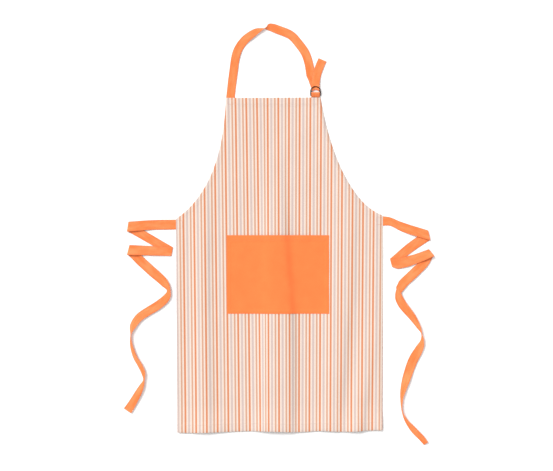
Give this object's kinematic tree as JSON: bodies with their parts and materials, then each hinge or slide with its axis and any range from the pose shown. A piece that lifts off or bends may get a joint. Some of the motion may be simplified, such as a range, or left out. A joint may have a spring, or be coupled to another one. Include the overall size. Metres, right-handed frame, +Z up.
{
  "type": "bib apron with patch pocket",
  "caption": "Striped cotton bib apron laid flat, with a plain patch pocket, a neck strap that closes through two D-rings, and long waist ties in loose folds.",
  "frame": {"origin": "centre of the laid-out apron's footprint, on the surface that it lies on", "axes": "+X to the right as the apron's face is seen from above, +Y from the bottom hem towards the neck strap, +Z up out of the face"},
  "size_m": [0.9069, 1.23, 0.0132],
  "materials": {
    "striped_cloth": "woven cotton, fine vertical stripes in orange, tan, cream and pale grey-pink",
    "orange_cloth": "plain woven cotton, matt",
    "orange_tape": "folded and edge-stitched cotton tape, matt",
    "sewing_thread": "spun thread, slight sheen",
    "ring_metal": "dark bronze plated wire, satin"
  },
  "bodies": {
    "apron": {"front_panel": "striped_cloth", "bib_top_hem": "striped_cloth", "left_armhole_hem": "striped_cloth", "right_armhole_hem": "striped_cloth", "left_side_hem": "striped_cloth", "right_side_hem": "striped_cloth", "bottom_hem": "striped_cloth", "pocket": "orange_cloth", "pocket_mouth_hem": "orange_cloth", "neck_strap_sewn_end": "orange_tape", "ring_tab_sewn_end": "orange_tape", "left_tie_sewn_end": "orange_tape", "right_tie_sewn_end": "orange_tape", "bib_top_stitching": "sewing_thread", "left_armhole_stitching": "sewing_thread", "right_armhole_stitching": "sewing_thread", "left_side_stitching": "sewing_thread", "right_side_stitching": "sewing_thread", "bottom_hem_stitching": "sewing_thread", "pocket_stitching": "sewing_thread", "pocket_mouth_stitching": "sewing_thread", "neck_strap_stitching": "sewing_thread", "ring_tab_stitching": "sewing_thread", "left_tie_stitching": "sewing_thread", "right_tie_stitching": "sewing_thread"},
    "neck_loop": {"neck_strap": "orange_tape", "ring_tab": "orange_tape", "lower_d_ring": "ring_metal"},
    "strap_tail": {"neck_strap_tail": "orange_tape", "tail_end_stitching": "sewing_thread"},
    "clamp_ring": {"upper_d_ring": "ring_metal"},
    "left_tie_free": {"left_tie": "orange_tape"},
    "right_tie_free": {"right_tie": "orange_tape"}
  },
  "joints": [
    {"name": "neck_loop_fold", "type": "hinge", "parent": "apron", "child": "neck_loop", "pos_m": [-0.0195, 0.4027, 0.0019], "axis": [1, 0, 0], "range_deg": [0, 120]},
    {"name": "clamp_ring_lift", "type": "hinge", "parent": "neck_loop", "child": "clamp_ring", "pos_m": [0.1044, 0.4152, 0.0057], "axis": [1, 0, 0], "range_deg": [0, 55]},
    {"name": "strap_adjust", "type": "slide", "parent": "neck_loop", "child": "strap_tail", "axis": [0.2672, 0.9636, 0], "range_m": [0, 0.04]},
    {"name": "left_tie_fold", "type": "hinge", "parent": "apron", "child": "left_tie_free", "pos_m": [-0.3029, 0.031, 0.0019], "axis": [0, 1, 0], "range_deg": [0, 110]},
    {"name": "right_tie_fold", "type": "hinge", "parent": "apron", "child": "right_tie_free", "pos_m": [0.3014, 0.042, 0.0019], "axis": [0, -1, 0], "range_deg": [0, 110]}
  ]
}
